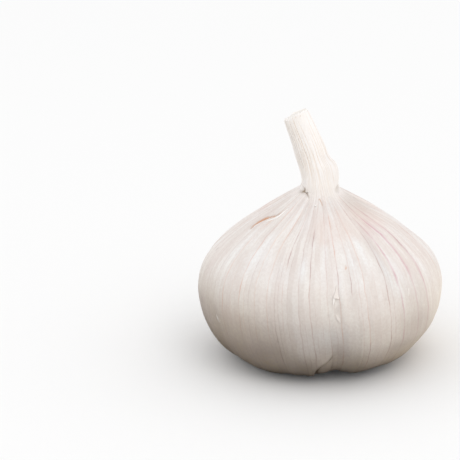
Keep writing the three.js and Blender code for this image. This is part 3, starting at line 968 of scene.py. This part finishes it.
def bulb_skin(material):
    random = np.random.default_rng(RELIEF_SEED)
    lines = vein_lines()
    waist, owners, nearness, onward = skin_columns(lines)
    end = outline_length[-1]
    neck = np.linspace(end - NECK_LENGTH, end, NECK_ROWS)
    lengths = np.concatenate([np.linspace(0.0, neck[0], SKIN_ROWS, endpoint=False), neck])
    shares = np.interp(lengths, outline_length, outline_share)
    row_z = spline(outline_points, shares)[:, 1]
    share, along, z = (np.repeat(row[:, None], len(waist), axis=1) for row in (shares, lengths, row_z))
    radius = spline(outline_points, share)[..., 0]
    # below the lowest point of the outline the lines run on as they are there
    sway_z = np.where(shares < outline_share[lowest], 0.0, row_z)
    wobble = line_wobble(lines, owners, onward, lengths, random)
    azimuth = line_azimuth(waist, sway_z[:, None]) + wobble
    lift = skin_relief(azimuth, np.broadcast_to(waist, z.shape), share, along, lines, random)
    vein, tint = vein_marks(lines, owners, nearness, z, radius, along, random)
    lift += 0.03 * vein * (nearness == 1.0) * (radius > 9)
    lift += by_azimuth(azimuth, BASE_SWELL) * ease(z, 9.0, 3.0)

    torn, slit, tear_shade = tear_marks(azimuth, along, z)
    folded, fold = fold_marks(azimuth, along, z)
    gap, where = path_distance(azimuth, along, NECK_SLIT)
    neck_slit = bell(gap, lerp(0.18, 0.09, where)) * window(where, 0.05, 0.95, 0.05) * (z > 38)
    stepped, crevice = neck_marks(azimuth, along)
    lift += torn + folded + stepped - 0.12 * neck_slit
    # painted shadow inside the neck slit joins the tear's, and the real orange nicks are added
    slit = np.maximum(slit, 0.5 * neck_slit) + spots(azimuth, z, radius, NICKS)
    rings = skin_point(azimuth, share, lift)
    collar_rings, on_collar, inside = collar(azimuth[-1], rings[-1], end)
    row = np.arange(CEILING_ROWS)[:, None]
    wave = 0.05 * np.cos(31 * np.radians(waist)) * row / CEILING_ROWS
    reach = lerp(*CEILING_REACH, row / (CEILING_ROWS - 1))
    ceiling = polar(azimuth[0], reach, HOLLOW_Z + CEILING_LIFT + wave)
    body = np.concatenate([ceiling, rings, collar_rings, inside])
    body = eased_neck(body, azimuth[-1], CEILING_ROWS + len(rings))

    blush, magenta = pink_tints_and_reflection(azimuth, z)
    # a warm soil tint together with painted shade: growing towards the base, strongest at the front
    # left, lighter at the front foot
    pale_foot = 0.5 * beside(azimuth, 4.0, 14.0) * bell(z - 14.5, 3.5)
    front = window(turn_between(azimuth, 0.0), -74, -16, 16)
    earth = ease(z, 29.0, 0.0) * (1 - pale_foot) * lerp(0.38, 0.95, front)
    earth = lerp(earth, 1.0, 0.7 * ease(z, 11.0, 3.0))
    # painted shade at the foot of the neck and over the valleys, lower edges and round the flakes, with
    # the small specks
    shade = 0.03 * bell(z - OUTLINE[-1][1], 1.6) + spots(azimuth, z, radius, SHADES)
    # brown painted shade in the neck slit, the fold, beside the tear, in the crevice and pocket by the
    # neck and beside the neck on the right, and darker underneath round the root plate
    stain = 0.4 * neck_slit + 0.55 * ease(share, 0.30, 0.10) + fold + 0.24 * tear_shade + crevice
    beside_neck = window(turn_between(azimuth, 72.0), -22.0, 34.0, 14.0)
    stain += 0.15 * beside_neck * ease(z, 35.5, 39.0) * ease(z, 42.3, 41.0)
    foot_lines = stem_lines(azimuth, stem_share(OUTLINE[-1][1]))[1]
    # painted sheen over the smooth patches
    shine = sheen_highlights(azimuth, z, random)
    tones = panel_tones(lines, owners, nearness, along, random)
    grain = grain_vector(np.radians(waist), along * SKIN_GRAIN)
    shift = on_collar["grain"][0] - grain[-1]
    marks = {
        "vein": vein,
        "tint": lerp(tint, 0.05, ease(z, 38.5, 42.0)),
        "blush": blush,
        "magenta": magenta,
        "earth": earth,
        "shine": shine,
        "tone": 0.5 + (tones - 0.5) * lerp(0.65, 0.95, ease(z, 21.0, 31.0)),
        "shade": shade,
        "slit": slit,
        "dry": ease(z, DRY_FROM, DRY_FULL),
        "groove": 0.5 * foot_lines * ease(z, 39.5, OUTLINE[-1][1]),
        "stain": np.clip(stain, 0, 1),
        "grain": grain + shift * ease(along, end - 6, end)[..., None],
    }
    for name, values in marks.items():
        # carried on over the ceiling, the collar and its inside
        above = on_collar.get(name, np.repeat(values[-1:], COLLAR_ROWS, axis=0))
        below = np.repeat(values[:1], CEILING_ROWS, axis=0)
        within = np.repeat(above[-1:], SOCKET_ROWS + 1, axis=0)
        marks[name] = marks_with_poles(np.concatenate([below, values, above, within]))
    points, faces = closed_body(body, [0, 0, HOLLOW_Z], stem_point(np.array(0.0), 0.0, 0.0, -CLEARANCE))
    return mesh_object("bulb_skin", points, faces, material, marks, ["bulb"])


def vein_marks(lines, owners, nearness, z, radius, along, random):
    """Strength and tint of the lines, patchy along their length, with their dark passages."""
    row_z = z[:, 0]
    strength = np.array([np.interp(row_z, VEIN_Z, line[1]) for line in lines]).T
    tints = np.repeat(np.array([line[2] for line in lines])[None, :], len(row_z), axis=0)
    middles = np.array([line[0] for line in lines])
    for azimuth, low, high, strong, hue in DARK_PASSAGES:
        nearest = int(np.argmin(np.abs(turn_between(middles, azimuth))))
        share = window(row_z, low, high, 1.2)
        strength[:, nearest] = lerp(strength[:, nearest], strong, share)
        tints[:, nearest] = lerp(tints[:, nearest], hue, share)
    strength, tints, middle = strength[:, owners], tints[:, owners], middles[owners]
    soft = np.isin(middle, SOFT_LINES)
    slender = np.clip(1.1 - radius / 27.0, 0.0, 1.0) ** 1.4
    slender = np.maximum(slender, 0.75 * soft * window(z, 25.0, 36.0, 2.0))
    edge = np.where(nearness == 0.0, 0.6, 0.2 * (1 - soft)) * slender
    profile = np.where(nearness == 1.0, 1.0, edge)
    left = sector(middle, -38.0, 27.0, 8.0)
    front_left = sector(middle, -34.0, 44.0, 8.0)
    strength = strength * (1 + 0.25 * left * ease(z, 31.0, 35.0)) * (1 - 0.22 * front_left)
    vein = strength * profile * (1 - 0.45 * ease(z, 37.0, 41.5))
    line, begins = SHORT_LINE
    vein = np.where(np.abs(middle - line) < 0.1, vein * ease(z, begins - 0.5, begins + 0.5), vein)
    patchy = np.zeros(vein.shape)
    for _ in range(6):
        phase = random.uniform(0, 6.3, len(lines))[owners]
        patchy += np.cos(random.uniform(0.15, 0.9) * along + phase)
    return np.clip(vein * (1.0 + 0.14 * patchy), 0.0, 1.0), tints


def grain_vector(radians, along):
    """Where a point lies in the grain of the leaf: round the head and, far closer, along it."""
    parts = np.broadcast_arrays(np.cos(radians), np.sin(radians), along)
    return GRAIN_SIZE * np.stack(parts, axis=-1)


def pink_tints_and_reflection(azimuth, z):
    """Pink tinge with a painted clove reflection, and where a band of deeper pink ends that."""
    turn = turn_between(azimuth, 0.0)
    ragged = z + 0.5 * np.sin(np.radians(azimuth * 11)) + 0.3 * np.sin(np.radians(azimuth * 23 + 40))
    blush = 0.75 * window(turn, -7, 39, 7) * ease(ragged, 33.2, 35.2) * ease(z, 41.0, 36.5)
    blush *= 0.6 + 0.4 * bell(turn - 2, 6) + 0.3 * bell(turn - 25, 7)
    blush += 0.9 * window(turn, 42, 84, 10) * ease(ragged, 34.0, 36.4) * ease(z, 41.5, 38.0)
    blush += 0.45 * window(turn, 52, 90, 9) * window(z, 26.0, 34.5, 3.0)
    magenta = 0.6 * window(turn, 40, 66, 9) * bell(ragged - 35.2, 1.4)
    for centre, wide, low, strong in SHOULDER_PATCHES:
        patch = sector(azimuth, centre, wide, 8) * ease(ragged, low - 0.6, low + 1.6)
        blush += strong * patch * ease(z, 41.5, 38.0)
        magenta += 0.6 * patch * bell(z - low - 0.6, 1.3)
    # a painted reflection: the warm light that a clove throws on to the front left
    clove_reflection = window(turn, -52, -39, 2.5) * window(z, 14.5, 19.5, 2.0)
    return np.clip(blush + 0.45 * clove_reflection, 0, 1.2), np.clip(magenta, 0, 1)


def panel_tones(lines, owners, nearness, along, random):
    """How pale the skin is between one line and the next, from 0 to 1, changing along the length."""
    left = (nearness == 0.0) & (np.roll(nearness, -1) == 1.0)
    panel = np.where(left, owners - 1, owners) % len(lines)
    tone = random.uniform(0.0, 1.0, len(lines))[panel]
    for length in (13.0, 24.0, 41.0):
        phase = random.uniform(0, 6.3, len(lines))[panel]
        tone = tone + 0.22 * np.sin(2 * np.pi * along / length + phase)
    return np.clip(tone, 0.0, 1.0)


def sheen_highlights(azimuth, z, random):
    """Broad patches of painted sheen, paler and cooler, where the skin lies smooth over a clove."""
    draw = random.uniform
    patches = list(SHEEN_PATCHES)
    for centre in np.arange(86, 276, 10):
        centre = centre + draw(-4, 4)
        patches.append((centre, draw(26, 34), *draw((1.8, 2.4, 0.3), (4.0, 4.5, 0.9))))
    shine = np.zeros(azimuth.shape)
    for centre, middle, wide, tall, strong in patches:
        shine += strong * beside(azimuth, centre, wide) * bell(z - middle, tall)
    return np.clip(shine, 0, 1)


# ---- The stem ----

STEM_COLUMNS, STEM_ROWS = 360, 90
CUT_LAYERS = [  # rings of the cut end: share of the radius, height above the rim
    (0.97, 0.05), (0.93, 0.03), (0.885, -0.3), (0.84, -0.36), (0.8, -0.05), (0.72, 0), (0.675, -0.4),
    (0.63, -0.45), (0.585, -0.12), (0.5, -0.1), (0.45, -0.5), (0.4, -0.55), (0.35, -0.3), (0.2, -0.35),
]
CUT_SPOTS = [(-3.0, 0.984), (18.0, 0.98)]  # small tan spots below the cut: azimuth, share


def stem(material):
    azimuth = np.linspace(0, 360, STEM_COLUMNS, endpoint=False)
    radians = np.radians(azimuth)
    shares = np.linspace(0.0, 1.0, STEM_ROWS)
    share = np.repeat(shares[:, None], STEM_COLUMNS, axis=1)
    depth, colour, tint = stem_lines(azimuth, share)
    # the cut: lower on the left, with a notch between the layers, and higher at the right and back
    notch = CUT_NOTCH_DEPTH * beside(azimuth, CUT_NOTCH_AZIMUTH, CUT_NOTCH_HALF_WIDTH)
    ragged = 0.05 * np.cos(11 * radians + 1.0) + 0.02 * np.cos(23 * radians)
    high = 0.35 * sector(azimuth, 120.0, 80.0, 22.0)
    rounded = 0.55 * beside(azimuth, 88.0, 30.0)
    top = CUT_STEP * np.sin(radians) - 0.8 * notch + ragged + high - rounded - 0.2
    above_edge = lerp(STEM_FOOT_Z, STEM_TOP_Z, share) - by_azimuth(azimuth, SHEATH_EDGE)
    flare = SHEATH_FLARE * tail(above_edge, 1.0) * at_left(azimuth)
    radius = stem_radius(share) - depth + flare - 0.05 * ease(share, 0.985, 1.0)
    rings = [stem_point(share, azimuth, radius, ease(share, 0.9, 1.0) * top)]
    cut = [0.0 * share]
    cut[0][-1] = 0.1
    for inward, height in CUT_LAYERS:
        wobble = 0.05 * np.cos(5 * radians + 9 * inward) + 0.03 * np.cos(13 * radians + 20 * inward)
        here = radius[-1] * (inward + 0.02 * np.cos(radians + 12 * inward))
        raised = top * inward + height + wobble
        rings.append(stem_point(np.ones((1, STEM_COLUMNS)), azimuth, here, raised))
        cut.append(np.full((1, STEM_COLUMNS), 1.0 if inward < 0.95 else 0.4))
    for where, below in CUT_SPOTS:
        spot = beside(azimuth, where, 3.0) * bell(share - below, 0.008)
        tint = np.where(spot > colour, 0.3, tint)
        colour = np.maximum(colour, 0.7 * spot)
    marks = {"groove": colour, "tint": tint, "grain": grain_vector(radians, share * STEM_GRAIN)}
    for name, values in marks.items():
        over_cut = np.repeat(values[-1:], len(CUT_LAYERS), axis=0)
        marks[name] = marks_with_poles(np.concatenate([values, over_cut]))
    marks["cut"] = marks_with_poles(np.concatenate(cut))
    foot, end = stem_point(np.array(0.0), 0.0, 0.0), stem_point(np.array(1.0), 0.0, 0.0, -0.35)
    points, faces = closed_body(np.concatenate(rings), foot, end)
    return mesh_object("stem_sheath", points, faces, material, marks, ["stem"])


# ---- Torn edge and flakes ----


def skin_sheet(name, material, path, half_widths, lifts, bow, white, steps=24, across=9):
    """A thin scrap of skin along a path of azimuth and height: its half width along the path, its lift
    off the skin at either edge, how far it bows up between them, and how white it is."""
    shares = np.linspace(0, 1, steps)
    azimuths, heights = spline(path, shares).T
    on_outline = share_at_height(heights)
    radius = spline(outline_points, on_outline)[:, 0]
    along = np.interp(on_outline, outline_share, outline_length)
    run_x, run_y = np.gradient(np.radians(azimuths)) * radius, np.gradient(along)
    run = np.hypot(run_x, run_y)
    half, right, left = (
        np.interp(shares, np.linspace(0, 1, len(values)), values) for values in (half_widths, *lifts)
    )
    top, bottom = [], []
    for v in np.linspace(-1, 1, across):
        azimuth = azimuths + np.degrees(-run_y / run * half * v / radius)
        share = np.interp(along + run_x / run * half * v, outline_length, outline_share)
        rise = lerp(right, left, 0.5 + 0.5 * v) + bow * (1 - v * v) * half / max(half)
        top.append(skin_point(azimuth, share, rise + SHEET_OVER + SHEET_THICK))
        bottom.append(skin_point(azimuth, share, rise + SHEET_OVER))
    # one closed shell: over the top and back underneath, a ring at each step of the path
    ring = np.array(top + bottom[::-1]).transpose(1, 0, 2)
    points, faces = closed_body(ring, ring[0].mean(axis=0), ring[-1].mean(axis=0))
    return mesh_object(name, points, faces, material, {"white": np.full(len(points), white)})


SHEET_OVER, SHEET_THICK = 0.02, 0.06
# Scraps of skin: name, path, half width along it, lift of its right-hand and left-hand edge, bow,
# and how white it is.
SCRAPS = [
    ("torn_lip", [(-48, 39.2), (-49, 38.4), (-50.8, 37.6), (-54.6, 36.9), (-59.4, 36.4), (-62.8, 35.9)],
     [0.03, 0.12, 0.17, 0.15, 0.1, 0.03], ([0.26, 0.36, 0.36, 0.3, 0.2], [0.1, 0.12, 0.12, 0.12, 0.1]),
     0.09, 1),
    ("skin_flake_1", [(8.7, 26.9), (8.3, 25.8), (8, 24.9), (7.7, 24.1)],
     [0.03, 0.26, 0.55, 0.78], ([0, 0.03, 0.1, 0.26], [0, 0.02, 0.06, 0.18]), 0.06, 0.05),
    ("skin_flake_1_tip", [(6.9, 24.3), (6.5, 23.6), (6.2, 22.8)],
     [0.32, 0.26, 0.08], ([0.16, 0.2, 0.24], [0.12, 0.16, 0.2]), 0.05, 0.5),
    ("skin_flake_2", [(7.4, 20.5), (8.3, 19.5), (9.2, 18.6)],
     [0.1, 0.42, 0.1], ([0.1, 0.13, 0.1], [0.02, 0.03, 0.02]), 0.05, 0.1),
    ("skin_flake_3", [(48.6, 24.3), (47.2, 22.9), (45.8, 21.4)],
     [0.03, 0.2, 0.03], ([0, 0.12, 0.05], [0, 0.02, 0]), 0.08, 0.4),
    ("skin_flake_4", [(-8.5, 40.55), (-7.5, 40.42), (-6.5, 40.35)],
     [0.06, 0.24, 0.06], ([0.3, 0.4, 0.3], [0.12, 0.15, 0.12]), 0.12, 1),
    ("skin_flake_5", [(-57.5, 15.6), (-56.5, 14.6), (-55, 13.7)],
     [0.03, 0.3, 0.03], ([0, 0.14, 0.08], [0, 0.04, 0]), 0.05, 0.2),
    ("skin_flake_6", [(131, 27.5), (133, 25), (132, 22.5)],
     [0.03, 0.4, 0.05], ([0, 0.1, 0.3], [0, 0.15, 0.35]), 0.06, 0.3),
    ("skin_flake_7", [(228, 36.5), (224, 35.5), (219, 35)],
     [0.03, 0.4, 0.05], ([0.05, 0.1, 0.1], [0.3, 0.45, 0.3]), 0.1, 0.5),
]


def loose_skin(material):
    for name, *shape in SCRAPS:
        skin_sheet(name, material, *shape)


# ---- Root plate and roots ----

ROOT_SEED = 11
PLATE_COLUMNS, BAND_COLUMNS = 168, 144
ROOT_STEPS, ROOT_SIDES = 9, 7
ROOT_REACH = 11.5
# Ranks of roots: how many, the radius they start at, how far out they run and how far they hang.
ROOT_RANKS = [(40, 8.7, 0.8, 1.9), (52, 9.2, 1.7, 1.9), (48, 9.7, 1.9, 1.2)]
ROOT_BAND = [(8.25, 3.25), (8.2, 2.1), (8.9, 1.95), (9.6, 1.95), (10.1, 2.4), (10.1, 3.25)]


def root_plate(material):
    azimuth = np.linspace(0, 360, PLATE_COLUMNS, endpoint=False)
    radians = np.radians(azimuth)
    # underside from the middle outwards: corky growth in low uneven rings above the resting spot
    radius = np.linspace(0.4, 6.7, 34)[:, None]
    groove = bell(radius - 4.8 - 0.35 * np.cos(2 * radians + 1), 0.4)
    inner = bell(radius - 2.3 - 0.3 * np.cos(3 * radians), 0.45)
    lumps = 0.5 * np.cos(5 * radians + 1.3 * radius) + 0.3 * np.cos(9 * radians - 2.1 * radius + 1)
    lumps = 0.5 + 0.5 * (lumps + 0.25 * np.cos(15 * radians + 4.3 * radius))
    sunk = np.clip(0.7 * groove + 0.35 * inner + 0.4 * lumps - 0.1, 0, 1)
    sunk = lerp(sunk, 0.3 * lumps, ease(radius, 5.7, 6.4))
    underside = polar(azimuth, radius + 0.1 * np.cos(7 * radians + radius), 0.55 * sunk)
    radius, z = np.array(PLATE_OUTLINE[1:]).T[..., None]
    wave = 0.1 * np.cos(21 * radians + 5 * z) + 0.07 * np.cos(34 * radians)
    rim = polar(azimuth, radius + wave - 0.12, z)
    hollow = np.concatenate([sunk, 0.4 + 0.3 * np.cos(21 * radians) + 0 * z])
    points, faces = closed_body(np.concatenate([underside, rim]), [0, 0, 0.12], [0, 0, 3.3])
    marks = {"hollow": marks_with_poles(hollow)}
    return mesh_object("root_plate_cork", points, faces, material, marks, ["root_plate"])


def tube(path, radii, sides):
    """Rings of a tube along a path."""
    ahead = np.gradient(path, axis=0)
    ahead /= np.linalg.norm(ahead, axis=1, keepdims=True)
    side = np.cross(ahead, [0.0, 0.0, 1.0] if abs(ahead[0][2]) < 0.9 else [1.0, 0.0, 0.0])
    side /= np.linalg.norm(side, axis=1, keepdims=True)
    other = np.cross(ahead, side)
    turn = np.linspace(0, 2 * np.pi, sides, endpoint=False)[None, :, None]
    out = np.cos(turn) * side[:, None, :] + np.sin(turn) * other[:, None, :]
    return path[:, None, :] + out * radii[:, None, None]


def roots(material):
    draw = np.random.default_rng(ROOT_SEED).uniform
    points, faces, tints, tips = [], [], [], []
    count = 0
    for number, start, reach, drop in ROOT_RANKS:
        for k in range(number):
            azimuth = 360 * (k + draw(-0.3, 0.3)) / number
            out = reach * draw(0.5, 1.1)
            fall = drop * draw(0.6, 1.0)
            curl = draw(-17, 17)
            end, rise = min(start + draw(0.6, 1.0) * out, ROOT_REACH), draw(-0.1, 0.8)
            knots = [
                polar(azimuth, start, 3.2),
                polar(azimuth + 0.2 * curl, start + 0.15 * out, 3.0 - 0.45 * fall),
                polar(azimuth + 0.7 * curl, start + 0.6 * out, 2.9 - 0.85 * fall),
                polar(azimuth + curl, end, 2.7 - fall + rise),
            ]
            path = spline(knots, np.linspace(0, 1, ROOT_STEPS), True)
            thick = draw(0.2, 0.4)
            radii = thick * np.linspace(1.1, 0.8, ROOT_STEPS) * draw(0.9, 1.1, ROOT_STEPS)
            path[:, 2] = np.maximum(path[:, 2], thick + 0.25)
            body, sides = closed_body(tube(path, radii, ROOT_SIDES), path[0], path[-1])
            points.append(body)
            faces += [tuple(index + count for index in face) for face in sides]
            count += len(body)
            tints.append(np.full(len(body), draw(0, 1)))
            tip = np.zeros(len(body))
            tip[-1], tip[-2 - ROOT_SIDES : -2] = 1.0, 0.5
            tips.append(tip)
    # the band that the roots grow from
    azimuth = np.linspace(0, 360, BAND_COLUMNS, endpoint=False)
    band = []
    for radius, z in ROOT_BAND:
        rough = draw(-0.12, 0.12, BAND_COLUMNS)
        band.append(polar(azimuth, radius + rough, z + 0.5 * rough))
    band = np.array(band[::-1])
    points.append(band.reshape(-1, 3))
    # its last row joins its first
    size = len(band) * BAND_COLUMNS
    joined = ring_faces(len(band) + 1, BAND_COLUMNS)
    faces += [tuple(index % size + count for index in face) for face in joined]
    tints.append(np.tile(draw(0.3, 0.9, BAND_COLUMNS), len(band)))
    tips.append(np.zeros(size))
    marks = {"tint": np.concatenate(tints), "tip": np.concatenate(tips)}
    points = np.vstack(points)
    return mesh_object("clipped_roots", points, faces, material, marks, ["root_fringe"])


# ---- Setting: floor, light and camera ----

SIGHT = Vector((0.0, 0.0, 0.022))  # the point of the head that the view is set out from
SIGHT_RIGHT, SIGHT_DOWN = 90.0, 36.17  # where it shows, in pixels from the middle of the frame
ELEVATION = 20.0
DISTANCE = 0.6
FOCAL_PIXELS = 2440.0
PICTURE_WIDTH = 460.0
SENSOR = 36.0
FLOOR_HALF, FLOOR_Z = 3.0, -0.00002  # a hair under the root plate, so that the two don't coincide
FLOOR_SHADE = (-0.04, -0.03, 0.0)  # the middle of the floor that throws little light back
SHADE_FROM, SHADE_TO = 0.05, 0.09
SKY_STRENGTH = 1.05
KEY_PLACE, KEY_AIM = Vector((0.35, -0.55, 0.75)), Vector((0.0, 0.0, 0.02))
KEY_SIZE, KEY_POWER = 0.5, 0.7


def camera():
    angle = np.radians(ELEVATION)
    place = SIGHT + DISTANCE * Vector((0.0, -np.cos(angle), np.sin(angle)))
    facing = (SIGHT - place).to_track_quat("-Z", "Y")
    seen = Vector((SIGHT_RIGHT / FOCAL_PIXELS, -SIGHT_DOWN / FOCAL_PIXELS, -1.0)).normalized()
    turned = facing @ seen.rotation_difference(Vector((0.0, 0.0, -1.0)))
    data = bpy.data.cameras.new("camera")
    data.sensor_width = SENSOR
    data.lens = SENSOR * FOCAL_PIXELS / PICTURE_WIDTH
    made = in_scene("camera", data)
    made.matrix_world = Matrix.Translation(place) @ turned.to_matrix().to_4x4()
    bpy.context.scene.camera = made


def floor():
    mesh = bpy.data.meshes.new("floor")
    corners = [(-1, -1), (1, -1), (1, 1), (-1, 1)]
    corners = [(x * FLOOR_HALF, y * FLOOR_HALF, FLOOR_Z) for x, y in corners]
    mesh.from_pydata(corners, [], [(0, 1, 2, 3)])
    material, tree = new_material("pale_floor")
    # pale to the eye, but it throws little light back up close to the head
    path = add(tree, "ShaderNodeLightPath")
    where = add(tree, "ShaderNodeTexCoord")
    inputs = {0: where.outputs["Object"], 1: FLOOR_SHADE}
    away = add(tree, "ShaderNodeVectorMath", inputs, operation="DISTANCE")
    far = spread(tree, away.outputs["Value"], SHADE_FROM, SHADE_TO)
    bounce = blend(tree, far, (0.02, 0.01, 0.005, 1.0), (0.95, 0.905, 0.815, 1.0))
    colour = blend(tree, path.outputs["Is Camera Ray"], bounce, (0.9, 0.9, 0.9, 1.0))
    inputs = {"Base Color": colour, "Roughness": 0.9, "Specular IOR Level": 0.0}
    plug(tree, tree.nodes["Principled BSDF"], inputs)
    mesh.materials.append(material)
    in_scene("floor", mesh)


def lights():
    world = bpy.data.worlds.new("studio")
    world.use_nodes = True
    inputs = {"Color": (1.0, 1.0, 1.0, 1.0), "Strength": SKY_STRENGTH}
    plug(world.node_tree, world.node_tree.nodes["Background"], inputs)
    bpy.context.scene.world = world
    key = bpy.data.lights.new("key", "AREA")
    key.shape, key.size, key.energy = "DISK", KEY_SIZE, KEY_POWER
    made = in_scene("key", key)
    made.location = KEY_PLACE
    made.rotation_euler = (KEY_AIM - KEY_PLACE).to_track_quat("-Z", "Y").to_euler()
    bpy.context.scene.view_settings.view_transform = "Standard"


camera()
floor()
lights()
bulb_skin(papery_skin())
stem(dry_stem_sheath())
loose_skin(torn_paper())
root_plate(cork_plate())
roots(dry_root())
